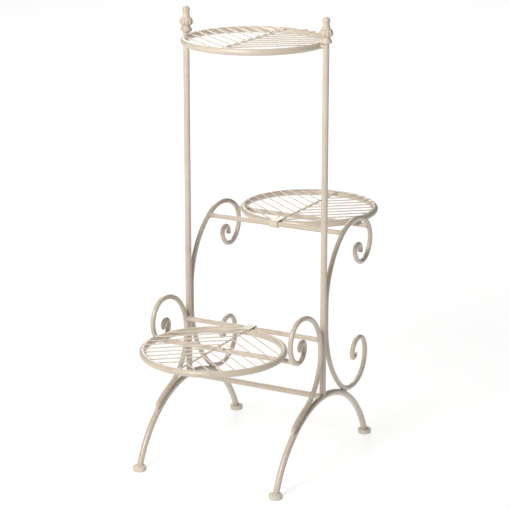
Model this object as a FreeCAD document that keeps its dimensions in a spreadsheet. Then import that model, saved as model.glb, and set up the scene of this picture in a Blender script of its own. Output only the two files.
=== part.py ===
import FreeCAD, Part
import math
import os
import Sketcher
from FreeCAD import Placement, Rotation, Vector

# Three-tier folding plant stand of welded round bar. X runs from the left post to the right post,
# the bottom shelf stands out at the front (-Y), the middle shelf at the back (+Y), and the floor
# is Z = 0. The origin lies on the floor, half way between the two posts.
# Lengths are in millimetres and angles in degrees.
driving = {
    # Posts and the arched legs
    "post_diameter": 11.5,
    "post_rise": 0.5,
    "top_rim_height": 768.0,
    "leg_diameter": 11.5,
    "arch_height": 130.0,
    "arch_radius": 195.5,
    "leg_end_height": 4.5,
    "stretcher_diameter": 10.5,
    # Plastic feet on the leg ends
    "foot_diameter": 24.5,
    "foot_height": 9.0,
    "foot_edge_radius": 2.0,
    "foot_clearance": 0.1,
    # Cast finials and the studs that hold them on the posts
    "flange_diameter": 20.5,
    "flange_height": 3.2,
    "waist_diameter": 12.5,
    "bulb_diameter": 24.6,
    "bulb_height": 19.0,
    "bulb_centre": 16.8,
    "flute_diameter": 5.4,
    "flute_depth": 1.2,
    "flute_count": 10,
    "flute_arc": 96.0,
    "waist_end_share": 0.38,  # of the bulb height, below the bulb centre
    "neck_diameter": 10.8,
    "neck_flare": 1.3,  # neck widths at its foot and its top, as shares of its diameter
    "neck_taper": 0.92,
    "neck_start_share": 0.4,  # of the bulb height, above the bulb centre
    "ball_diameter": 14.0,
    "ball_centre": 37.8,
    "stud_diameter": 6.0,
    "stud_depth_in_post": 18.0,
    "stud_depth_in_finial": 12.0,
    "stud_clearance": 0.05,
    # Scroll rods and the cross bars between them
    "scroll_diameter": 9.0,
    "bar_diameter": 9.0,
    "front_straight": 6.5,
    "front_lap_start": 20.5,
    "front_lap_end": 33.5,
    "front_rise_radius": 77.0,
    "front_rise_turn": 94.0,
    "front_crown_radius": 39.0,
    "front_crown_turn": 152.0,
    "front_return_radius": 22.5,
    "front_return_turn": 127.0,
    "front_curl_radius": 9.2,
    "front_curl_turn": 195.0,
    "front_bar_before_crown_end": 13.0,
    "rear_straight": 32.5,
    "rear_rise_radius": 145.5,
    "rear_rise_turn": 57.5,
    "rear_shoulder_radius": 90.5,
    "rear_shoulder_turn": 65.5,
    "rear_crown_radius": 40.5,
    "rear_crown_turn": 113.0,
    "rear_return_radius": 31.0,
    "rear_return_turn": 104.0,
    "rear_curl_radius": 12.0,
    "rear_curl_turn": 226.0,
    "rear_bar_past_crown_start": 24.0,
    "rear_drop_radius": 171.5,
    "rear_drop_turn": 52.0,
    "rear_sole_radius": 71.0,
    "rear_sole_turn": 61.5,
    "rear_heel_radius": 50.0,
    "rear_heel_turn": 87.0,
    "rear_hook_radius": 27.0,
    "rear_hook_turn": 160.0,
    "rear_tip_radius": 6.2,
    "rear_tip_turn": 185.0,
    # Round shelves
    "rim_outer_diameter": 260.5,
    "rim_tube": 12.0,
    "rim_post_gap": 2.75,
    "lug_diameter": 8.0,
    "divider_diameter": 3.5,
    "wire_diameter": 2.3,
    "wire_angle": 38.0,
    "wire_spacing": 26.0,
    "wire_stagger": 12.0,  # from the wires of one half to those of the other, along the divider
    "wire_from_tail": 2.5,
    "wire_past_crest": 0.3,
    "wire_proud": 0.95,  # tops of the wires above the crest of the rim
    "wire_shortest": 22.0,
    "wire_end_gap": 0.15,
    # Hinge clips of the two folding shelves
    "clip_width": 16.0,
    "clip_thickness": 2.0,
    "clip_wrap": 250.0,
    "clip_reach": 11.0,
    "clip_tail": 8.0,
    "clip_clearance": 0.4,
    # Gaps between touching pieces
    "weld_gap": 0.1,
    "rest_gap": 0.3,
}

doc = FreeCAD.newDocument("plant_stand")
sheet = doc.addObject("Spreadsheet::Sheet", "Sizes")
for row, (alias, value) in enumerate(driving.items(), start=1):
    sheet.set("A%d" % row, alias)
    sheet.set("B%d" % row, str(value))
    sheet.setAlias("B%d" % row, alias)
doc.recompute()

nodes = []

# Formulas that several pieces share
rim_axis = "(Sizes.rim_outer_diameter - Sizes.rim_tube) / 2"
half_spacing = "((Sizes.rim_outer_diameter + Sizes.post_diameter) / 2 + Sizes.rim_post_gap)"
post_top = "(Sizes.top_rim_height + Sizes.rim_tube / 2 + Sizes.post_rise)"
arch_rise = "(Sizes.leg_end_height - Sizes.arch_height + Sizes.arch_radius)"
clip_bore = "(Sizes.bar_diameter / 2 + Sizes.clip_clearance)"
wire_lift = "((Sizes.rim_tube - Sizes.wire_diameter) / 2 + Sizes.wire_proud)"
divider_lift = "%s - (Sizes.wire_diameter + Sizes.divider_diameter) / 2 - Sizes.weld_gap" % wire_lift

along_x = Rotation(Vector(0, 0, 1), Vector(1, 0, 0))
along_y = Rotation(Vector(0, 0, 1), Vector(0, 1, 0))


def size(alias):
    return float(sheet.get(alias))


def bind(item, formulas):
    for prop, formula in formulas.items():
        item.setExpression(prop, formula)


def primitive(kind, label, formulas, base=Vector(), turn=Rotation()):
    item = doc.addObject(kind, label)
    item.Placement = Placement(base, turn)
    bind(item, formulas)
    return item


def cut(label, base, tool):
    item = doc.addObject("Part::Cut", label)
    item.Base = base
    item.Tool = tool
    return item


def gather(kind, label, pieces):
    item = doc.addObject(kind, label)
    if kind == "Part::Compound":
        item.Links = pieces
    else:
        item.Shapes = pieces
    return item


def keep(item, label, place=None):
    item.Label = label
    if place:
        item.Placement = place
    nodes.append(item)
    return item


# Places worked out from the driving dimensions
post_x = (size("rim_outer_diameter") + size("post_diameter")) / 2 + size("rim_post_gap")
rim_radius = (size("rim_outer_diameter") - size("rim_tube")) / 2
arch_centre = size("arch_height") - size("arch_radius")
leg_end_angle = math.degrees(math.asin((size("leg_end_height") - arch_centre) / size("arch_radius")))
foot_y = size("arch_radius") * math.cos(math.radians(leg_end_angle))
scroll_offset = (size("post_diameter") + size("scroll_diameter")) / 2 + size("weld_gap")
arch_lap = (size("leg_diameter") + size("scroll_diameter")) / 2 + size("weld_gap")


# Rod paths in the YZ plane, as runs of tangent arcs
class Bend:
    def __init__(self, centre, radius, begin, turn):
        self.centre = centre
        self.radius = radius
        self.begin = begin
        self.turn = turn

    def point(self, angle):
        y = self.centre[0] + self.radius * math.cos(math.radians(angle))
        z = self.centre[1] + self.radius * math.sin(math.radians(angle))
        return y, z

    def heading(self, angle):
        return angle + math.copysign(90, self.turn)

    def edge(self, x):
        angles = (self.begin, self.begin + self.turn / 2, self.begin + self.turn)
        points = [Vector(x, *self.point(angle)) for angle in angles]
        return Part.Arc(*points).toShape()

    def at_height(self, z):
        lift = (z - self.centre[1]) / self.radius
        if abs(lift) > 1:
            return None
        rising = math.degrees(math.asin(lift))
        way = math.copysign(1, self.turn)
        travelled = min(way * (angle - self.begin) % 360 for angle in (rising, 180 - rising))
        if travelled > abs(self.turn):
            return None
        return self.begin + way * travelled


def bend_run(start, heading, bends, side):
    run = []
    y, z = start
    for radius, turn in bends:
        inward = math.radians(heading + 90 * side)
        centre = (y + radius * math.cos(inward), z + radius * math.sin(inward))
        bend = Bend(centre, radius, heading - 90 * side, turn * side)
        run.append(bend)
        heading += turn * side
        y, z = bend.point(bend.begin + bend.turn)
    return run


def bends_of(prefix, names):
    return [(size("%s_%s_radius" % (prefix, name)), size("%s_%s_turn" % (prefix, name))) for name in names]


# Front scroll: from the lap on the leg arch up along the post and over into the front loop
lap_radius = size("arch_radius") + arch_lap
lap_sine = math.sin(math.radians(size("front_lap_start")))
sweep_radius = (lap_radius * lap_sine - scroll_offset) / (1 - lap_sine)
front_low = arch_centre + (sweep_radius + lap_radius) * math.cos(math.radians(size("front_lap_start")))
front_high = front_low + size("front_straight")
front_upper = bend_run((-scroll_offset, front_high), 90,
                       bends_of("front", ("rise", "crown", "return", "curl")), 1)
front_lower = bend_run((-scroll_offset, front_low), -90, [(sweep_radius, 90 - size("front_lap_start"))], -1)
front_lap = Bend((0, arch_centre), lap_radius, 90 + size("front_lap_start"),
                 size("front_lap_end") - size("front_lap_start"))

# Rear scroll: a C whose lower loop stands on the leg arch
rear_drop = bends_of("rear", ("drop", "sole", "heel", "hook", "tip"))
sole_centre = bend_run((scroll_offset, 0), -90, rear_drop, 1)[1].centre
sole_reach = size("arch_radius") + arch_lap + size("rear_sole_radius")
rear_low = arch_centre + math.sqrt(sole_reach ** 2 - sole_centre[0] ** 2) - sole_centre[1]
rear_high = rear_low + size("rear_straight")
rear_lower = bend_run((scroll_offset, rear_low), -90, rear_drop, 1)
rear_upper = bend_run((scroll_offset, rear_high), 90,
                      bends_of("rear", ("rise", "shoulder", "crown", "return", "curl")), -1)


def straight_edge(x, y, low, high):
    return Part.LineSegment(Vector(x, y, low), Vector(x, y, high)).toShape()


def scroll(label, edges):
    spine = doc.addObject("Part::Feature", label + "_path")
    spine.Shape = Part.Wire(Part.__sortEdges__(edges))
    first = spine.Shape.OrderedEdges[0]
    tangent = first.tangentAt(first.FirstParameter)
    ring = primitive("Part::Circle", label + "_section", {"Radius": "Sizes.scroll_diameter / 2"},
                     first.valueAt(first.FirstParameter), Rotation(Vector(0, 0, 1), tangent))
    rod = doc.addObject("Part::Sweep", label)
    rod.Sections = [ring]
    rod.Spine = (spine, [])
    rod.Solid = True
    rod.Frenet = False
    return keep(rod, label)


def front_scroll(label, x):
    edges = [bend.edge(x) for bend in [front_lap] + front_lower + front_upper]
    edges.append(straight_edge(x, -scroll_offset, front_low, front_high))
    return scroll(label, edges)


def rear_scroll(label, x):
    edges = [bend.edge(x) for bend in rear_lower + rear_upper]
    edges.append(straight_edge(x, scroll_offset, rear_low, rear_high))
    return scroll(label, edges)


def leg_arc(label, x, radius):
    turn = Rotation(Vector(0, 1, 0), Vector(0, 0, 1), Vector(1, 0, 0), "ZXY")
    tilt = Rotation(Vector(1, 0, 0), leg_end_angle)
    return primitive("Part::Torus", label, {
        "Radius1": "Sizes.arch_radius",
        "Radius2": radius,
        "Angle3": "180 deg - 2 * asin(%s / Sizes.arch_radius)" % arch_rise,
    }, Vector(x, 0, arch_centre), tilt * turn)


def leg_arch(label, x):
    return keep(leg_arc(label, x, "Sizes.leg_diameter / 2"), label)


def foot(label, x, y, socket):
    body = doc.addObject("PartDesign::Body", label + "_body")
    body.Placement = Placement(Vector(x, y, 0), Rotation())
    plane = [item for item in body.Origin.OriginFeatures if item.Role == "XY_Plane"][0]
    sketch = body.newObject("Sketcher::SketchObject", label + "_outline")
    sketch.AttachmentSupport = (plane, [""])
    sketch.MapMode = "FlatFace"
    circle = sketch.addGeometry(Part.Circle(Vector(), Vector(0, 0, 1), size("foot_diameter") / 2))
    sketch.addConstraint(Sketcher.Constraint("Coincident", circle, 3, -1, 1))
    across = sketch.addConstraint(Sketcher.Constraint("Diameter", circle, size("foot_diameter")))
    sketch.setExpression("Constraints[%d]" % across, "Sizes.foot_diameter")
    pad = body.newObject("PartDesign::Pad", label + "_pad")
    pad.Profile = sketch
    bind(pad, {"Length": "Sizes.foot_height"})
    doc.recompute()
    rims = ["Edge%d" % n for n, edge in enumerate(pad.Shape.Edges, start=1)
            if isinstance(edge.Curve, Part.Circle)]
    rounding = body.newObject("PartDesign::Fillet", label + "_rounding")
    rounding.Base = (pad, rims)
    bind(rounding, {"Radius": "Sizes.foot_edge_radius"})
    return keep(cut(label, body, socket), label)


# A cutter in the shape of the rod that another rod's end is fitted to
def rod_cope(label, centre, heading, onto, piece):
    run = Vector(0, math.cos(math.radians(heading)), math.sin(math.radians(heading)))
    length = 2 * size(piece + "_diameter")
    return primitive("Part::Cylinder", label, {
        "Radius": "Sizes.%s_diameter / 2 + Sizes.weld_gap" % onto,
        "Height": "2 * Sizes.%s_diameter" % piece,
    }, centre - run * (length / 2), Rotation(Vector(0, 0, 1), run))


def post(label, x):
    rod = primitive("Part::Cylinder", label + "_rod", {
        "Radius": "Sizes.post_diameter / 2",
        "Height": "%s - Sizes.arch_height" % post_top,
    }, Vector(x, 0, size("arch_height")))
    saddle = rod_cope(label + "_saddle", Vector(x, 0, size("arch_height")), 0, "leg", "post")
    hole = primitive("Part::Cylinder", label + "_stud_hole", {
        "Radius": "Sizes.stud_diameter / 2 + Sizes.stud_clearance",
        "Height": "Sizes.stud_depth_in_post",
        "Placement.Base.z": "%s - Sizes.stud_depth_in_post" % post_top,
    }, Vector(x, 0, 0))
    return keep(cut(label, cut(label + "_coped", rod, saddle), hole), label)


# A round bar from side to side, its ends fitted to the rods at the two posts
def cross_bar(label, kind, y, z, fits):
    rod = primitive("Part::Cylinder", label + "_rod", {
        "Radius": "Sizes.%s_diameter / 2" % kind,
        "Height": "2 * %s" % half_spacing,
        "Placement.Base.x": "-%s" % half_spacing,
    }, Vector(0, y, z), along_x)
    copes = []
    for side, x in (("left", -post_x), ("right", post_x)):
        for onto, heading, rise in fits:
            name = "%s_%s_%s_cope" % (label, side, onto)
            copes.append(rod_cope(name, Vector(x, y, z + rise), heading, onto, kind))
    return keep(cut(label, rod, gather("Part::MultiFuse", label + "_copes", copes)), label)


# Turned and fluted finial, drawn with the top of its post at the origin
def finial(label, x):
    seat = primitive("Part::Cylinder", label + "_flange", {
        "Radius": "Sizes.flange_diameter / 2",
        "Height": "Sizes.flange_height",
    })
    waist = primitive("Part::Cone", label + "_waist", {
        "Radius1": "Sizes.flange_diameter / 2",
        "Radius2": "Sizes.waist_diameter / 2",
        "Height": "Sizes.bulb_centre - Sizes.bulb_height * Sizes.waist_end_share - Sizes.flange_height",
        "Placement.Base.z": "Sizes.flange_height",
    })
    bulb = primitive("Part::Ellipsoid", label + "_bulb", {
        "Radius1": "Sizes.bulb_height / 2",
        "Radius2": "Sizes.bulb_diameter / 2",
        "Placement.Base.z": "Sizes.bulb_centre",
    })
    neck = primitive("Part::Cone", label + "_neck", {
        "Radius1": "Sizes.neck_diameter / 2 * Sizes.neck_flare",
        "Radius2": "Sizes.neck_diameter / 2 * Sizes.neck_taper",
        "Height": "Sizes.ball_centre - Sizes.bulb_centre - Sizes.bulb_height * Sizes.neck_start_share",
        "Placement.Base.z": "Sizes.bulb_centre + Sizes.bulb_height * Sizes.neck_start_share",
    })
    ball = primitive("Part::Sphere", label + "_ball", {
        "Radius": "Sizes.ball_diameter / 2",
        "Placement.Base.z": "Sizes.ball_centre",
    })
    turned = gather("Part::MultiFuse", label + "_turned", [seat, waist, bulb, neck, ball])
    flutes = []
    count = int(size("flute_count"))
    upright = Rotation(Vector(1, 0, 0), Vector(0, 0, 1), Vector(0, -1, 0), "ZXY")
    lowest = Rotation(Vector(0, 0, 1), -size("flute_arc") / 2)
    for n in range(count):
        round_axis = Rotation(Vector(0, 0, 1), 360 * n / count)
        flutes.append(primitive("Part::Torus", "%s_flute_%d" % (label, n + 1), {
            "Radius1": "(Sizes.bulb_diameter + Sizes.flute_diameter) / 2 - Sizes.flute_depth",
            "Radius2": "Sizes.flute_diameter / 2",
            "Angle3": "Sizes.flute_arc * 1 deg",
            "Placement.Base.z": "Sizes.bulb_centre",
        }, Vector(), round_axis * upright * lowest))
    hole = primitive("Part::Cylinder", label + "_stud_hole", {
        "Radius": "Sizes.stud_diameter / 2 + Sizes.stud_clearance",
        "Height": "Sizes.stud_depth_in_finial",
    })
    cutters = gather("Part::Compound", label + "_cutters", flutes + [hole])
    head = cut(label, turned, cutters)
    bind(head, {"Placement.Base.z": post_top})
    return keep(head, label, Placement(Vector(x, 0, 0), Rotation()))


def finial_stud(label, x):
    stud = primitive("Part::Cylinder", label, {
        "Radius": "Sizes.stud_diameter / 2",
        "Height": "Sizes.stud_depth_in_post + Sizes.stud_depth_in_finial",
        "Placement.Base.z": "%s - Sizes.stud_depth_in_post" % post_top,
    }, Vector(x, 0, 0))
    return keep(stud, label)


# A cutter in the shape of a rim, for the rods that end on it
def rim_cope(label, place):
    return primitive("Part::Torus", label, {
        "Radius1": rim_axis,
        "Radius2": "Sizes.rim_tube / 2 + Sizes.weld_gap",
    }, place.Base, place.Rotation)


# Short lug that joins the rim of the top shelf to a post
def top_lug(label, side):
    stub = primitive("Part::Cylinder", label + "_stub", {
        "Radius": "Sizes.lug_diameter / 2",
        "Height": "%s - %s" % (half_spacing, rim_axis),
        "Placement.Base.z": "Sizes.top_rim_height",
    }, Vector(side * rim_radius, 0, 0), Rotation(Vector(0, 0, 1), Vector(side, 0, 0)))
    rim_side = rim_cope(label + "_rim_cope", Placement(Vector(0, 0, size("top_rim_height")), Rotation()))
    post_side = primitive("Part::Cylinder", label + "_post_cope", {
        "Radius": "Sizes.post_diameter / 2 + Sizes.weld_gap",
        "Height": "2 * Sizes.lug_diameter",
        "Placement.Base.z": "Sizes.top_rim_height - Sizes.lug_diameter",
    }, Vector(side * post_x, 0, 0))
    return keep(cut(label, cut(label + "_coped", stub, rim_side), post_side), label)


# The pieces of a shelf are drawn round its own centre, with the hinge end at -Y
def shelf(name, place, turned):
    rim = primitive("Part::Torus", name + "_rim", {"Radius1": rim_axis, "Radius2": "Sizes.rim_tube / 2"})
    keep(rim, name + "_rim", place)
    rod = primitive("Part::Cylinder", name + "_divider_rod", {
        "Radius": "Sizes.divider_diameter / 2",
        "Height": "2 * %s" % rim_axis,
        "Placement.Base.y": "-%s" % rim_axis,
        "Placement.Base.z": divider_lift,
    }, Vector(), along_y)
    divider = cut(name + "_divider", rod, rim_cope(name + "_divider_cope", Placement()))
    keep(divider, name + "_divider", place)
    for side in (-1, 1):
        hand = "left" if (side < 0) != turned else "right"
        label = "%s_%s_wires" % (name, hand)
        wires = gather("Part::Compound", label + "_rods", shelf_wires(label, side))
        keep(cut(label, wires, rim_cope(label + "_cope", Placement())), label, place)


# Slanting wires of one half of a shelf, from the divider, or from the rim, out on to the rim.
# A wire starts beside the clip where it would run under its tail,
# and is left out where too little of it would be clear of the rim
def shelf_wires(label, side):
    slope = math.radians(size("wire_angle"))
    run = Vector(side * math.cos(slope), math.sin(slope), 0)
    reach = rim_radius + size("wire_past_crest")
    clear_radius = rim_radius - size("rim_tube") / 2
    start_x = size("wire_diameter") / 2 * math.sin(slope) + size("wire_end_gap")
    tail_end = size("clip_tail") + size("wire_from_tail") - rim_radius
    first_y = tail_end + max(0, side) * size("wire_stagger")
    beside_clip = (size("clip_width") / 2 + size("wire_end_gap")) / math.cos(slope)
    wires = []
    steps = int(2 * rim_radius / size("wire_spacing"))
    for step in range(-steps, steps + 1):
        start = Vector(side * start_x, first_y + step * size("wire_spacing") + start_x * math.tan(slope), 0)
        along = start.dot(run)
        off_centre_squared = start.dot(start) - along ** 2
        if off_centre_squared >= clear_radius ** 2:
            continue
        half_clear = math.sqrt(clear_radius ** 2 - off_centre_squared)
        if half_clear - along - max(0, -half_clear - along) < size("wire_shortest"):
            continue
        half_chord = math.sqrt(reach ** 2 - off_centre_squared)
        near = max(0 if start.y > tail_end else beside_clip, -half_chord - along)
        far = half_chord - along
        wires.append(primitive("Part::Cylinder", "%s_%d" % (label, len(wires) + 1), {
            "Radius": "Sizes.wire_diameter / 2",
            "Placement.Base.z": wire_lift,
        }, start + run * near, Rotation(Vector(0, 0, 1), run)))
        wires[-1].Height = far - near
    return wires


# Strip clip: a tail on the rim and the divider, and a curl that wraps the hinge bar
def hinge_clip(label, place):
    underside = "(Sizes.rim_tube / 2 + Sizes.weld_gap)"
    bar_reach = "(Sizes.rim_outer_diameter / 2 + Sizes.clip_reach)"
    tail = primitive("Part::Box", label + "_tail", {
        "Length": "Sizes.clip_width",
        "Width": "%s - %s + Sizes.clip_tail" % (bar_reach, rim_axis),
        "Height": "Sizes.clip_thickness",
        "Placement.Base.x": "-Sizes.clip_width / 2",
        "Placement.Base.y": "-%s" % bar_reach,
        "Placement.Base.z": underside,
    })
    over_top = Rotation(Vector(0, 0, 1), Vector(0, -1, 0), Vector(1, 0, 0), "ZXY")
    axis = {
        "Height": "Sizes.clip_width",
        "Placement.Base.x": "-Sizes.clip_width / 2",
        "Placement.Base.y": "-%s" % bar_reach,
        "Placement.Base.z": "%s - %s" % (underside, clip_bore),
    }
    outer = primitive("Part::Cylinder", label + "_outer", dict(axis, **{
        "Radius": "%s + Sizes.clip_thickness" % clip_bore,
        "Angle": "Sizes.clip_wrap * 1 deg",
    }), Vector(), over_top)
    bore = primitive("Part::Cylinder", label + "_bore", dict(axis, Radius=clip_bore), Vector(), over_top)
    curl = cut(label + "_curl", outer, bore)
    keep(gather("Part::MultiFuse", label, [tail, curl]), label, place)


# Side frames
for side, x in (("left", -post_x), ("right", post_x)):
    post(side + "_post", x)
    leg_arch(side + "_leg_arch", x)
    socket = leg_arc(side + "_foot_socket", x, "Sizes.leg_diameter / 2 + Sizes.foot_clearance")
    foot(side + "_front_foot", x, -foot_y, socket)
    foot(side + "_rear_foot", x, foot_y, socket)
    front_scroll(side + "_front_scroll", x)
    rear_scroll(side + "_rear_scroll", x)
    finial(side + "_finial", x)
    finial_stud(side + "_finial_stud", x)
    top_lug("top_shelf_%s_lug" % side, math.copysign(1, x))

# Each folding shelf rests on a bar across its scroll loops, which sets its height,
# and turns on a bar across the scroll rods beside the posts
hinge_reach = size("rim_outer_diameter") / 2 + size("clip_reach")
hinge_lift = (size("rim_tube") - size("bar_diameter")) / 2 + size("weld_gap") - size("clip_clearance")
rest_drop = (size("rim_tube") + size("bar_diameter")) / 2 + size("rest_gap")


def hinge_point(run, height):
    for bend in run:
        angle = bend.at_height(height)
        if angle is not None:
            return bend.point(angle)[0], bend.heading(angle)
    return run[0].point(run[0].begin)[0], run[0].heading(run[0].begin)


front_crown = front_upper[1]
front_bar_angle = front_crown.begin + front_crown.turn - size("front_bar_before_crown_end")
front_bar_y, front_bar_z = front_crown.point(front_bar_angle)
bottom_z = front_bar_z + rest_drop
bottom_hinge_y, bottom_hinge_heading = hinge_point(front_upper, bottom_z + hinge_lift)
cross_bar("bottom_shelf_front_bar", "bar", front_bar_y, front_bar_z,
          [("scroll", front_crown.heading(front_bar_angle), 0)])
cross_bar("bottom_shelf_rear_bar", "bar", bottom_hinge_y, bottom_z + hinge_lift,
          [("scroll", bottom_hinge_heading, 0)])

rear_crown = rear_upper[2]
rear_bar_angle = rear_crown.begin - size("rear_bar_past_crown_start")
rear_bar_y, rear_bar_z = rear_crown.point(rear_bar_angle)
middle_z = rear_bar_z + rest_drop
middle_hinge_y, middle_hinge_heading = hinge_point(rear_upper, middle_z + hinge_lift)
cross_bar("middle_shelf_rear_bar", "bar", rear_bar_y, rear_bar_z,
          [("scroll", rear_crown.heading(rear_bar_angle), 0)])
cross_bar("middle_shelf_front_bar", "bar", middle_hinge_y, middle_z + hinge_lift,
          [("scroll", middle_hinge_heading, 0)])

# The stretcher meets the crowns of the leg arches, where the posts begin
cross_bar("lower_stretcher", "stretcher", 0, size("arch_height"),
          [("leg", 0, 0), ("post", 90, size("stretcher_diameter"))])

# Shelves
half_turn = Rotation(Vector(0, 0, 1), 180)
bottom_place = Placement(Vector(0, bottom_hinge_y - hinge_reach, bottom_z), half_turn)
middle_place = Placement(Vector(0, middle_hinge_y + hinge_reach, middle_z), Rotation())
shelf("bottom_shelf", bottom_place, True)
shelf("middle_shelf", middle_place, False)
shelf("top_shelf", Placement(Vector(0, 0, size("top_rim_height")), Rotation()), False)
hinge_clip("bottom_shelf_clip", bottom_place)
hinge_clip("middle_shelf_clip", middle_place)

doc.recompute()

for item in doc.Objects:
    if "Invalid" in item.State or "Error" in item.State:
        raise RuntimeError("%s failed to build" % item.Label)
for item in nodes:
    if item.Shape.isNull() or not item.Shape.isValid():
        raise RuntimeError("%s has no valid shape" % item.Label)

os.makedirs("parts", exist_ok=True)
for item in nodes:
    item.Shape.exportStep("parts/%s.step" % item.Label)

print("bottom shelf hinge", bottom_hinge_y, bottom_z + hinge_lift)
print("middle shelf hinge", middle_hinge_y, middle_z + hinge_lift)
print("feet", post_x, foot_y)
print("%d pieces" % len(nodes))
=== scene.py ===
import math
import bpy
from mathutils import Matrix, Vector


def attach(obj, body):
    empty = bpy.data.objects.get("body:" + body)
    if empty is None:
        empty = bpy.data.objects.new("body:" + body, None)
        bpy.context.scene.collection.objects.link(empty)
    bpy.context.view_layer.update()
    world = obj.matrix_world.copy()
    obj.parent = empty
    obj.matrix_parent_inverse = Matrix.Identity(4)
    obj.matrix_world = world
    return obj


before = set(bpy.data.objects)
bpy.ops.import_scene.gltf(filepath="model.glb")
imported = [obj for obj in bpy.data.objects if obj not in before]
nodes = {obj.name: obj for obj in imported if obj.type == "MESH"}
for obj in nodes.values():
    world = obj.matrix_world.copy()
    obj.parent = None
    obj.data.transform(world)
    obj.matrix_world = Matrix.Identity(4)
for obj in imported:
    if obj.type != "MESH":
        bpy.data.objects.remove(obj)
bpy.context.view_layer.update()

print("frame loaded:", len(nodes), "nodes")


# Sizes of the stand that several pieces use, in metres
postX = 0.13875
postRadius = 0.00575
rimTube = 0.012
rimRadius = 0.12425  # to the middle of the tube
shelves = {"bottom_shelf": 0.24037, "middle_shelf": 0.41688, "top_shelf": 0.768}  # heights of the rim centres


# Camera at the photograph's viewing angle
cameraSet = {
    "eye": (1.584, -2.9602, 1.3201),  # metres, in the stand's own frame
    "turn": 28.162,  # degrees to the left of straight ahead
    "dip": 15.664,  # degrees below the horizon
    "focalPixels": 1932.5,
    "framePixels": 509,
    "sensor": 36.0,  # millimetres
    "clipEnd": 100,
}


def makeCamera(s):
    bpy.ops.object.camera_add(location=s["eye"])
    cam = bpy.context.object
    cam.name = "photoCamera"
    cam.rotation_euler = (math.radians(90 - s["dip"]), 0, math.radians(s["turn"]))
    cam.data.sensor_width = s["sensor"]
    cam.data.lens = s["focalPixels"] / s["framePixels"] * s["sensor"]
    cam.data.clip_end = s["clipEnd"]
    bpy.context.scene.camera = cam


makeCamera(cameraSet)
print("camera set")


# Shader helper: a socket that takes part in sums, and one method for every other node
class Val:
    def __init__(self, paint, socket):
        self.paint = paint
        self.socket = socket

    def maths(self, operation, a, b):
        return self.paint.node("ShaderNodeMath", {"operation": operation}, {0: a, 1: b})[0]

    def __add__(self, other):
        return self.maths("ADD", self, other)

    def __radd__(self, other):
        return self.maths("ADD", other, self)

    def __sub__(self, other):
        return self.maths("SUBTRACT", self, other)

    def __rsub__(self, other):
        return self.maths("SUBTRACT", other, self)

    def __mul__(self, other):
        return self.maths("MULTIPLY", self, other)

    def __rmul__(self, other):
        return self.maths("MULTIPLY", other, self)


class Paint:
    def __init__(self, name):
        self.material = bpy.data.materials.new(name)
        self.material.use_nodes = True
        self.tree = self.material.node_tree
        self.tree.nodes.clear()
        self.where = self.node("ShaderNodeTexCoord")[3]  # Object coordinates
        self.x, self.y, self.z = self.node("ShaderNodeSeparateXYZ", {}, {"Vector": self.where})

    def node(self, kind, settings=None, sockets=None):
        made = self.tree.nodes.new(kind)
        for key, value in (settings or {}).items():
            setattr(made, key, value)
        for key, value in (sockets or {}).items():
            if isinstance(value, Val):
                self.tree.links.new(value.socket, made.inputs[key])
            else:
                made.inputs[key].default_value = value
        return [Val(self, out) for out in made.outputs]

    def noise(self, scale, detail, rough=0.55):
        return self.node("ShaderNodeTexNoise", {}, {
            "Vector": self.where, "Scale": scale, "Detail": detail, "Roughness": rough})[0]

    def band(self, value, low, high):
        return self.node("ShaderNodeMapRange", {"interpolation_type": "SMOOTHSTEP"}, {
            "Value": value, "From Min": low, "From Max": high})[0]

    def mix(self, amount, a, b):
        return self.node("ShaderNodeMix", {"data_type": "RGBA"}, {0: amount, 6: a, 7: b})[2]

    def finish(self, colour, roughness, height, bump, sockets):
        normal = self.node("ShaderNodeBump", {}, {
            "Height": height, "Strength": bump[0], "Distance": bump[1]})[0]
        shader = self.node("ShaderNodeBsdfPrincipled", {}, dict(sockets, **{
            "Base Color": colour, "Roughness": roughness, "Normal": normal}))[0]
        self.node("ShaderNodeOutputMaterial", {}, {"Surface": shader})
        return self.material


# In every paint a noise is given by its scale and detail, a band by the noise values where it starts and
# ends, and the bump by its strength and distance


# Cream stove paint on steel: soft mottling, thin brownish patches, specks and orange peel
creamSet = {
    "light": (0.60, 0.522, 0.43, 1),
    "warm": (0.53, 0.45, 0.36, 1),
    "thin": (0.38, 0.305, 0.225, 1),
    "bare": (0.23, 0.19, 0.15, 1),  # steel that shows through where the paint has rubbed off
    "broad": (11, 3),
    "cloudy": (55, 4),
    "fine": (260, 3),
    "peel": (1100, 2),
    "warmBand": (0.34, 0.68),
    "warmShare": 0.6,
    "thinCloudy": (0.5, 0.72),
    "thinBroad": (0.4, 0.7),
    "thinShare": 0.38,
    "speckBand": (0.64, 0.72),
    "speckShare": 0.3,
    "rubFine": 0.55,
    "rubCloudy": 0.45,
    "rubWear": 0.12,
    "rubBand": (0.76, 0.84),
    "rubShare": 0.7,
    "gloss": 0.27,
    "cloudyDull": 0.16,
    "speckDull": 0.12,
    "rubPolish": 0.08,
    "peelHeight": 0.45,
    "fineHeight": 0.35,
    "speckDepth": 0.2,
    "rubDepth": 0.5,
    "coat": 0.4,
    "coatRoughness": 0.3,
    "bump": (0.2, 0.0005),
    "wearFrom": 0.3,  # pots rub the rims from here up, in shares of the tube above its middle
    "wearFull": 0.6,
}


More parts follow.
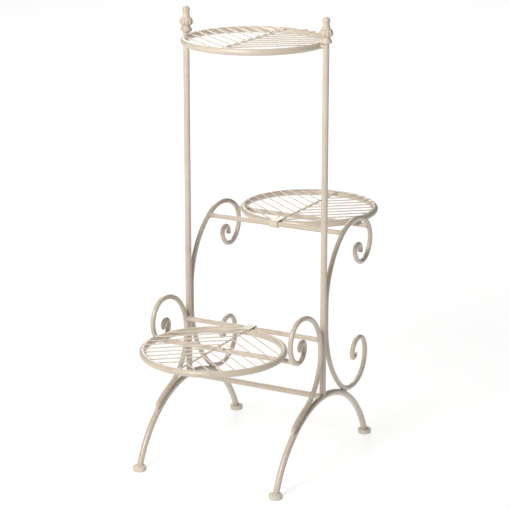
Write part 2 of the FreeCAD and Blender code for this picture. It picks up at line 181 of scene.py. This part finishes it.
def creamCoat(p, s, wear=0.0):
    broad = p.noise(*s["broad"])
    cloudy = p.noise(*s["cloudy"])
    fine = p.noise(*s["fine"])
    peel = p.noise(*s["peel"])
    colour = p.mix(p.band(broad, *s["warmBand"]) * s["warmShare"], s["light"], s["warm"])
    thin = p.band(cloudy, *s["thinCloudy"]) * p.band(broad, *s["thinBroad"])
    colour = p.mix(thin * s["thinShare"], colour, s["thin"])
    specks = p.band(fine, *s["speckBand"])
    colour = p.mix(specks * s["speckShare"], colour, s["thin"])
    rubbed = p.band(fine * s["rubFine"] + cloudy * s["rubCloudy"] + wear * s["rubWear"], *s["rubBand"])
    colour = p.mix(rubbed * s["rubShare"], colour, s["bare"])
    roughness = s["gloss"] + s["cloudyDull"] * cloudy + s["speckDull"] * specks - s["rubPolish"] * rubbed
    height = (peel * s["peelHeight"] + fine * s["fineHeight"] - specks * s["speckDepth"]
              - rubbed * s["rubDepth"])
    return p.finish(colour, roughness, height, s["bump"], {
        "Coat Weight": s["coat"], "Coat Roughness": s["coatRoughness"]})


# Rims are rubbed a little by pots along their tops
def shelfPaint(s, name, rimCentre):
    p = Paint(name + "Paint")
    wear = p.band(p.z, rimCentre + rimTube * s["wearFrom"], rimCentre + rimTube * s["wearFull"])
    return creamCoat(p, s, wear)


# The thin wires and the clips carry the same cream paint as the rods; this paler copy of it is a painted
# highlight for the strong light on their tops
wireHighlightSet = dict(creamSet, **{
    "light": (0.67, 0.59, 0.495, 1),
    "warm": (0.61, 0.53, 0.435, 1),
    "thin": (0.44, 0.365, 0.28, 1),
})


# Cast finials: grainy metal with cloudy brown patina, and painted shade darkening the flutes of the bulb
finialSet = {
    "light": (0.64, 0.56, 0.465, 1),
    # brown of the cloudy patina, also used as painted shade in the flutes
    "patinaAndFluteShade": (0.31, 0.25, 0.185, 1),
    "flutes": 10,
    "bulbFrom": 0.7825,  # heights of the fluted bulb, metres
    "bulbTo": 0.8005,
    "bulbEdge": 0.004,
    "grain": (420, 4, 0.65),  # this noise has a roughness too
    "cloudy": (90, 4),
    "grooveCloudy": 0.4,
    "grooveBand": (0.55, 1.25),
    "grooveShare": 0.55,
    "patinaBand": (0.4, 0.75),
    "patinaShare": 0.35,
    "gloss": 0.44,
    "grainDull": 0.2,
    "grooveDull": 0.12,
    "grainHeight": 0.7,
    "cloudyHeight": 0.5,
    "coat": 0.08,
    "bump": (0.3, 0.0006),
}


def finialPaint(s, name, x):
    p = Paint(name)
    around = p.node("ShaderNodeMath", {"operation": "ARCTAN2"}, {0: p.y, 1: p.x - x})[0]
    swing = p.node("ShaderNodeMath", {"operation": "COSINE"}, {0: around * s["flutes"]})[0]
    above = p.band(p.z, s["bulbFrom"], s["bulbFrom"] + s["bulbEdge"])
    bulb = above * (1 - p.band(p.z, s["bulbTo"] - s["bulbEdge"], s["bulbTo"]))
    grain = p.noise(*s["grain"])
    cloudy = p.noise(*s["cloudy"])
    # painted shade: the flutes of the bulb are darkened towards the brown
    fluteShade = p.band(swing + s["grooveCloudy"] * cloudy, *s["grooveBand"]) * bulb
    colour = p.mix(p.band(cloudy, *s["patinaBand"]) * s["patinaShare"], s["light"], s["patinaAndFluteShade"])
    colour = p.mix(fluteShade * s["grooveShare"], colour, s["patinaAndFluteShade"])
    roughness = s["gloss"] + s["grainDull"] * grain + s["grooveDull"] * fluteShade
    height = grain * s["grainHeight"] + cloudy * s["cloudyHeight"]
    return p.finish(colour, roughness, height, s["bump"], {"Coat Weight": s["coat"]})


# Moulded plastic feet with scuff streaks, darker towards the floor
footSet = {
    "light": (0.68, 0.62, 0.53, 1),
    "shade": (0.58, 0.515, 0.425, 1),
    "scuffAndLowDark": (0.38, 0.33, 0.27, 1),
    "cloudy": (120, 4),
    "grain": (900, 2),
    "streak": (420, 3),
    "lowBand": (0.0005, 0.0045),  # heights over which the darkening towards the floor fades out, metres
    "scuffStreak": 0.6,
    "lowDarkening": 0.35,
    "scuffBand": (0.5, 0.68),
    "scuffShare": 0.5,
    "shadeBand": (0.35, 0.7),
    "shadeShare": 0.5,
    "gloss": 0.48,
    "grainDull": 0.16,
    "scuffDull": 0.14,
    "grainHeight": 0.6,
    "streakHeight": 0.5,
    "scuffDepth": 0.3,
    "coat": 0.05,
    "bump": (0.22, 0.0004),
}


def footPlastic(s):
    p = Paint("footPlastic")
    cloudy = p.noise(*s["cloudy"])
    grain = p.noise(*s["grain"])
    streak = p.noise(*s["streak"])
    low = 1 - p.band(p.z, *s["lowBand"])
    # the scuff streaks are mixed with a darkening towards the bottom of each foot
    scuffsAndLowDark = p.band(streak * s["scuffStreak"] + low * s["lowDarkening"], *s["scuffBand"])
    colour = p.mix(p.band(cloudy, *s["shadeBand"]) * s["shadeShare"], s["light"], s["shade"])
    colour = p.mix(scuffsAndLowDark * s["scuffShare"], colour, s["scuffAndLowDark"])
    roughness = s["gloss"] + s["grainDull"] * grain + s["scuffDull"] * scuffsAndLowDark
    height = grain * s["grainHeight"] + streak * s["streakHeight"] - scuffsAndLowDark * s["scuffDepth"]
    return p.finish(colour, roughness, height, s["bump"], {"Coat Weight": s["coat"]})


# Painted weld metal: lumpy, with darker paint in its hollows
weldSet = {
    "light": (0.63, 0.545, 0.45, 1),
    "dark": (0.36, 0.285, 0.205, 1),
    "lumps": (500, 4, 0.6),  # this noise has a roughness too
    "cloudy": (130, 3),
    "lumpBand": (0.42, 0.66),
    "lumpShare": 0.5,
    "cloudyBand": (0.5, 0.7),
    "cloudyShare": 0.3,
    "gloss": 0.46,
    "lumpDull": 0.22,
    "coat": 0.08,
    "bump": (0.4, 0.0008),
}


def weldPaint(s):
    p = Paint("weldPaint")
    lumps = p.noise(*s["lumps"])
    cloudy = p.noise(*s["cloudy"])
    colour = p.mix(p.band(lumps, *s["lumpBand"]) * s["lumpShare"], s["light"], s["dark"])
    colour = p.mix(p.band(cloudy, *s["cloudyBand"]) * s["cloudyShare"], colour, s["dark"])
    roughness = s["gloss"] + s["lumpDull"] * lumps
    return p.finish(colour, roughness, lumps, s["bump"], {"Coat Weight": s["coat"]})


rodCream = creamCoat(Paint("rodPaint"), creamSet)
# paler wire paint: painted highlight on the wires and clips
wireHighlightCream = creamCoat(Paint("wireHighlightPaint"), wireHighlightSet)
weldCream = weldPaint(weldSet)
footCream = footPlastic(footSet)
shelfCream = {name: shelfPaint(creamSet, name, z) for name, z in shelves.items()}
finialCream = {side: finialPaint(finialSet, side + "_finialPaint", x)
               for side, x in (("left", -postX), ("right", postX))}


def paintFor(name):
    if name.endswith("_foot"):
        return footCream
    if name.endswith("_finial"):
        return finialCream[name.split("_")[0]]
    # wires and clips get the paler paint, a painted highlight
    if name.endswith(("_wires", "_clip")):
        return wireHighlightCream
    for shelf, cream in shelfCream.items():
        if name.startswith(shelf) and not name.endswith("_bar"):
            return cream
    return rodCream


for name, piece in nodes.items():
    piece.data.materials.clear()
    piece.data.materials.append(paintFor(name))
print("paint on", len(nodes), "pieces")


# Small modelling helpers
def freshMesh(name):
    piece = bpy.context.object
    piece.name = name
    piece.data.name = name
    return piece


def freshSphere(name, s):
    bpy.ops.object.select_all(action="DESELECT")
    bpy.ops.mesh.primitive_uv_sphere_add(segments=s["around"], ring_count=s["rings"], radius=1)
    return freshMesh(name)


def freshTorus(name, ring, bead, s):
    bpy.ops.object.select_all(action="DESELECT")
    bpy.ops.mesh.primitive_torus_add(major_segments=s["around"], minor_segments=s["across"],
                                     major_radius=ring, minor_radius=bead)
    return freshMesh(name)


def joined(name, parts, body, material):
    bpy.ops.object.select_all(action="DESELECT")
    for part in parts:
        part.select_set(True)
    bpy.context.view_layer.objects.active = parts[0]
    bpy.ops.object.join()
    piece = freshMesh(name)
    bpy.ops.object.mode_set(mode="EDIT")
    bpy.ops.mesh.select_all(action="SELECT")
    bpy.ops.mesh.normals_make_consistent(inside=False)
    bpy.ops.object.mode_set(mode="OBJECT")
    bpy.ops.object.shade_smooth()
    piece.data.materials.clear()
    piece.data.materials.append(material)
    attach(piece, body)
    return piece


# A bead round the end of one rod where it is welded on to another
ringSet = {
    "around": 44,
    "across": 10,
    "uneven": 0.16,
    "lumps": (7, 17),  # waves round the bead
    "shiftX": 90,  # the place of a bead sets where its waves begin
    "shiftZ": 70,
}


def weldRing(at, towards, along, ownRadius, ontoRadius, bead, s):
    piece = freshTorus("ring", ownRadius, bead, s)
    at, towards, along = Vector(at), Vector(towards), Vector(along)
    aside = towards.cross(along)
    shift = at.x * s["shiftX"] + at.z * s["shiftZ"]
    for v in piece.data.vertices:
        angle = math.atan2(v.co.y, v.co.x)
        lump = sum(math.sin(angle * n + shift) for n in s["lumps"]) / len(s["lumps"])
        swell = 1 + s["uneven"] * lump
        out = ownRadius + (math.hypot(v.co.x, v.co.y) - ownRadius) * swell
        offset = ownRadius * math.sin(angle)
        saddle = math.sqrt(max(0, ontoRadius ** 2 - offset ** 2))
        v.co = (at + along * (out * math.cos(angle)) + aside * (out * math.sin(angle))
                - towards * (saddle + v.co.z * swell))
    return piece


# A seam laid in the groove between two rods, along a line or an arc given by a function
seamSet = {
    "around": 10,
    "rings": 30,
    "bluntness": 0.45,
    "ripple": 0.14,
    "ripplePitch": 0.0026,
}


def weldSeam(path, length, halfWidth, s):
    piece = freshSphere("seam", s)
    for v in piece.data.vertices:
        share = v.co.z
        full = math.hypot(v.co.x, v.co.y) ** s["bluntness"]
        wave = 1 + s["ripple"] * math.sin(share * length * math.pi / s["ripplePitch"])
        spoke = math.atan2(v.co.y, v.co.x)
        point, out, aside = path(share)
        v.co = point + (out * math.cos(spoke) + aside * math.sin(spoke)) * (halfWidth * full * wave)
    return piece


def uprightPath(x, y, low, high):
    def path(share):
        height = (low + high) / 2 + share * (high - low) / 2
        return Vector((x, y, height)), Vector((0, 1, 0)), Vector((1, 0, 0))
    return path


def archPath(x, radius, begin, end, s):
    def path(share):
        angle = math.radians((begin + end) / 2 + share * (end - begin) / 2)
        out = Vector((0, math.sin(angle), math.cos(angle)))
        return Vector((x, 0, s["archCentre"])) + out * radius, out, Vector((1, 0, 0))
    return path


# The lower end of a front scroll runs out on to the leg in a smooth weld
runOutSet = {
    "around": 24,
    "rings": 28,
    "hidden": 3.1,  # degrees of the arch that are inside the scroll, and past its end
    "length": 4.0,
    "wide": 0.0044,
    "narrowing": 0.4,
    "high": 0.0088,
    "thin": 0.0003,
    "sunk": 0.002,
    "bluntness": 0.45,
}


def lapRunOut(x, s, r):
    piece = freshSphere("runOut", r)
    legSurface = s["archTop"] - s["archCentre"] + s["leg"]
    for v in piece.data.vertices:
        passed = (v.co.z + 1) / 2 * (r["hidden"] + r["length"])
        turn = math.radians(s["lapEnd"] + r["hidden"] - passed)
        out = Vector((0, math.sin(turn), math.cos(turn)))
        past = min(1, max(0, (passed - r["hidden"]) / r["length"]))
        ease = past * past * (3 - 2 * past)
        top = r["high"] * (1 - ease) + r["thin"]
        wide = r["wide"] * (1 - r["narrowing"] * ease)
        full = math.hypot(v.co.x, v.co.y) ** r["bluntness"]
        spoke = math.atan2(v.co.y, v.co.x)
        height = legSurface + (top - r["sunk"]) / 2 + math.cos(spoke) * full * (top + r["sunk"]) / 2
        v.co = Vector((x + math.sin(spoke) * full * wide, 0, s["archCentre"])) + out * height
    return piece


# Side frames: welds of the posts, arches, scrolls and bars, in metres and degrees
frameSet = {
    "leg": 0.00575,
    "scroll": 0.0045,
    "bar": 0.0045,
    "stretcher": 0.00525,
    "archTop": 0.130,
    "archCentre": -0.0655,
    "bars": {  # y, z and the heading of the scroll rod that the bar ends on
        "bottomRear": (-0.01267, 0.241573, 104.1),
        "bottomFront": (-0.113472, 0.229573, 323.0),
        "middleFront": (0.077149, 0.418076, 32.75),
        "middleRear": (0.187497, 0.406076, -57.0),
    },
    "bead": 0.0014,
    "fluteShade": 0.0027,  # from the middle of a seam to the plane of the rods
    "seam": 0.0015,
    "postContact": 0.00585,
    "archContact": 0.20135,
    "rearSeam": (0.268, 0.291),
    "frontSeam": (0.211, 0.228),
    "lapSeam": (-21.5, -32.5),
    "heelSeam": (23.0, 28.4),
    "lapEnd": -33.6,  # where the front scroll stops on the arch
}


def sideWelds(name, sign, s):
    x = sign * postX
    outward = (sign, 0, 0)
    parts = []
    for y, z, heading in s["bars"].values():
        run = (0, math.cos(math.radians(heading)), math.sin(math.radians(heading)))
        parts.append(weldRing((x, y, z), outward, run, s["bar"], s["scroll"], s["bead"], ringSet))
    crown = (x, 0, s["archTop"])
    parts.append(weldRing(crown, outward, (0, 1, 0), s["stretcher"], s["leg"], s["bead"], ringSet))
    parts.append(weldRing(crown, (0, 0, -1), (0, 1, 0), postRadius, s["leg"], s["bead"], ringSet))
    for side in (-1, 1):
        lane = x + side * s["fluteShade"]
        for seamY, (low, high) in ((s["postContact"], s["rearSeam"]), (-s["postContact"], s["frontSeam"])):
            parts.append(weldSeam(uprightPath(lane, seamY, low, high), high - low, s["seam"], seamSet))
        for begin, end in (s["lapSeam"], s["heelSeam"]):
            path = archPath(lane, s["archContact"], begin, end, s)
            length = s["archContact"] * math.radians(abs(end - begin))
            parts.append(weldSeam(path, length, s["seam"], seamSet))
    parts.append(lapRunOut(x, s, runOutSet))
    joined(name, parts, "frame", weldCream)


sideWelds("left_frame_welds", -1, frameSet)
sideWelds("right_frame_welds", 1, frameSet)
print("frame welds laid")


# Top shelf lugs: beads at the post and at the rim
lugSet = {
    "lug": 0.004,
    "bead": 0.0012,
    "height": shelves["top_shelf"],
}


def lugWelds(s):
    parts = []
    for sign in (-1, 1):
        outward = (sign, 0, 0)
        inward = (-sign, 0, 0)
        parts.append(weldRing((sign * postX, 0, s["height"]), outward, (0, 0, 1),
                              s["lug"], postRadius, s["bead"], ringSet))
        parts.append(weldRing((sign * rimRadius, 0, s["height"]), inward, (0, 1, 0),
                              s["lug"], rimTube / 2, s["bead"], ringSet))
    joined("top_shelf_lug_welds", parts, "frame", weldCream)


lugWelds(lugSet)
print("lug welds laid")


# Spot welds where the wires run on to the rims and cross the dividers
spotSet = {
    "around": 9,
    "rings": 6,
    "shelves": {  # body, y of the centre, and whether the shelf is turned half round
        "bottom_shelf": ("bottom_shelf", -0.15392, True),
        "middle_shelf": ("middle_shelf", 0.21840, False),
        "top_shelf": ("frame", 0, False),
    },
    "clearRadius": 0.11825,  # inside of the rim
    "meetRadius": 0.12065,  # where the underside of a wire runs into the rim
    "slope": 38.0,  # degrees between a wire and the line across the shelf
    "pitch": 0.026,
    "stagger": 0.012,  # of the right half, along the divider
    "firstY": -0.11375,
    "startX": 0.000858,
    "shortest": 0.022,
    "rimSpot": (0.0034, 0.0017, 0.0010),  # along the wire, across it, and up
    "rimHeight": 0.0051,  # above the middle of the rim
    "dividerSpot": (0.0020, 0.0016, 0.0010),
    "dividerHeight": 0.0047,
    "dividerEnd": (0.0024, 0.0025, 0.0020),
    "dividerEndHeight": 0.0030,
    "dividerInset": 0.0052,
}


def wirePlaces(s):
    places = []
    slope = math.radians(s["slope"])
    count = int(2 * rimRadius / s["pitch"])
    for side in (-1, 1):
        run = Vector((side * math.cos(slope), math.sin(slope), 0))
        for step in range(-count, count + 1):
            crossing = s["firstY"] + max(0, side) * s["stagger"] + step * s["pitch"]
            start = Vector((side * s["startX"], crossing + s["startX"] * math.tan(slope), 0))
            along = start.dot(run)
            offCentre = start.dot(start) - along ** 2
            if offCentre >= s["clearRadius"] ** 2:
                continue
            clear = math.sqrt(s["clearRadius"] ** 2 - offCentre)
            if clear - along - max(0, -clear - along) < s["shortest"]:
                continue
            meet = math.sqrt(s["meetRadius"] ** 2 - offCentre)
            lift = Vector((0, 0, s["rimHeight"]))
            places.append((start + run * (meet - along) + lift, run, s["rimSpot"]))
            if -clear - along > 0:
                places.append((start - run * (meet + along) + lift, run, s["rimSpot"]))
            else:
                places.append((start + Vector((0, 0, s["dividerHeight"])), run, s["dividerSpot"]))
    for end in (-1, 1):
        point = Vector((0, end * (rimRadius - s["dividerInset"]), s["dividerEndHeight"]))
        places.append((point, Vector((0, 1, 0)), s["dividerEnd"]))
    return places


def shelfSpots(name, s):
    body, centreY, turned = s["shelves"][name]
    centre = Matrix.Translation((0, centreY, shelves[name]))
    half = Matrix.Rotation(math.pi if turned else 0, 4, "Z")
    spot = freshSphere("spot", s)
    parts = []
    for point, run, sizes in wirePlaces(s):
        part = spot.copy()
        part.data = spot.data.copy()
        bpy.context.collection.objects.link(part)
        spin = Matrix.Rotation(math.atan2(run.y, run.x), 4, "Z")
        scale = Matrix.Diagonal((*sizes, 1))
        part.data.transform(centre @ half @ Matrix.Translation(point) @ spin @ scale)
        parts.append(part)
    bpy.data.objects.remove(spot)
    return joined(name + "_spot_welds", parts, body, shelfCream[name])


for name in shelves:
    piece = shelfSpots(name, spotSet)
    print(name, "spot welds:", len(piece.data.polygons), "faces")


# A lip round each leg where it enters its foot
lipSet = {
    "around": 40,
    "across": 10,
    "y": 0.18075,  # where the leg passes the top of the foot
    "z": 0.0088,
    "ring": 0.0064,
    "bead": 0.0013,
    "stretch": 1.05,  # the leg leans, so its outline on the foot is a little long
}


def footLips(s):
    stretched = Matrix.Diagonal((1, s["stretch"], 1, 1))
    parts = []
    for x in (-postX, postX):
        for y in (-s["y"], s["y"]):
            part = freshTorus("lip", s["ring"], s["bead"], s)
            part.data.transform(Matrix.Translation((x, y, s["z"])) @ stretched)
            parts.append(part)
    joined("foot_lips", parts, "frame", footCream)


footLips(lipSet)
print("feet lipped")


# Floor that glows like a light table, and soft studio lamps
stageSet = {
    "viewTransform": "Standard",  # plain colours, as a product photograph has them
    "floorSize": 40,
    "floorColour": (0.32, 0.32, 0.32, 1),
    "floorShade": (0.29, 0.29, 0.29, 1),
    "floorCloud": (2, 2),
    "floorMottle": 0.5,
    "floorRoughness": 0.7,
    "floorBump": (0.02, 0.001),
    "floorGlow": 0.75,
    "glowColour": (1, 1, 1, 1),
    "worldColour": (1, 1, 1, 1),
    "worldStrength": 0.14,
    "lamps": {  # place, aim, size in metres, power, beam in degrees and colour
        "key": {"at": (-0.15, -2.4, 2.2), "aim": (0, 0, 0.5), "size": 1.0, "watts": 78, "beam": 180,
                "colour": (1, 0.975, 0.94)},
        "top": {"at": (-0.5, -0.3, 3.2), "aim": (0, 0, 0.4), "size": 1.4, "watts": 14, "beam": 180,
                "colour": (1, 0.98, 0.95)},
        "fill": {"at": (-1.7, 2.4, 1.9), "aim": (0, 0, 0.45), "size": 1.2, "watts": 28, "beam": 180,
                 "colour": (1, 0.98, 0.95)},
        "back": {"at": (-1.9, 3.9, 3.3), "aim": (-2.0, 4.0, 0), "size": 4.5, "watts": 48, "beam": 80,
                 "colour": (1, 1, 1)},
    },
}


def floorPaint(s):
    p = Paint("paleFloor")
    cloud = p.noise(*s["floorCloud"])
    colour = p.mix(cloud * s["floorMottle"], s["floorColour"], s["floorShade"])
    return p.finish(colour, s["floorRoughness"], cloud, s["floorBump"], {
        "Emission Color": s["glowColour"], "Emission Strength": s["floorGlow"]})


def makeStage(s):
    bpy.ops.object.select_all(action="DESELECT")
    bpy.ops.mesh.primitive_plane_add(size=s["floorSize"])
    floor = bpy.context.object
    floor.name = "floor"
    floor.data.materials.append(floorPaint(s))
    world = bpy.data.worlds.new("studio")
    world.use_nodes = True
    world.node_tree.nodes["Background"].inputs["Color"].default_value = s["worldColour"]
    world.node_tree.nodes["Background"].inputs["Strength"].default_value = s["worldStrength"]
    bpy.context.scene.world = world
    bpy.context.scene.view_settings.view_transform = s["viewTransform"]
    for name, lamp in s["lamps"].items():
        bpy.ops.object.light_add(type="AREA", location=lamp["at"])
        light = bpy.context.object
        light.name = name + "Light"
        light.data.size = lamp["size"]
        light.data.energy = lamp["watts"]
        light.data.color = lamp["colour"]
        light.data.spread = math.radians(lamp["beam"])
        aim = Vector(lamp["aim"]) - Vector(lamp["at"])
        light.rotation_euler = aim.to_track_quat("-Z", "Y").to_euler()


makeStage(stageSet)
print("stage lit")
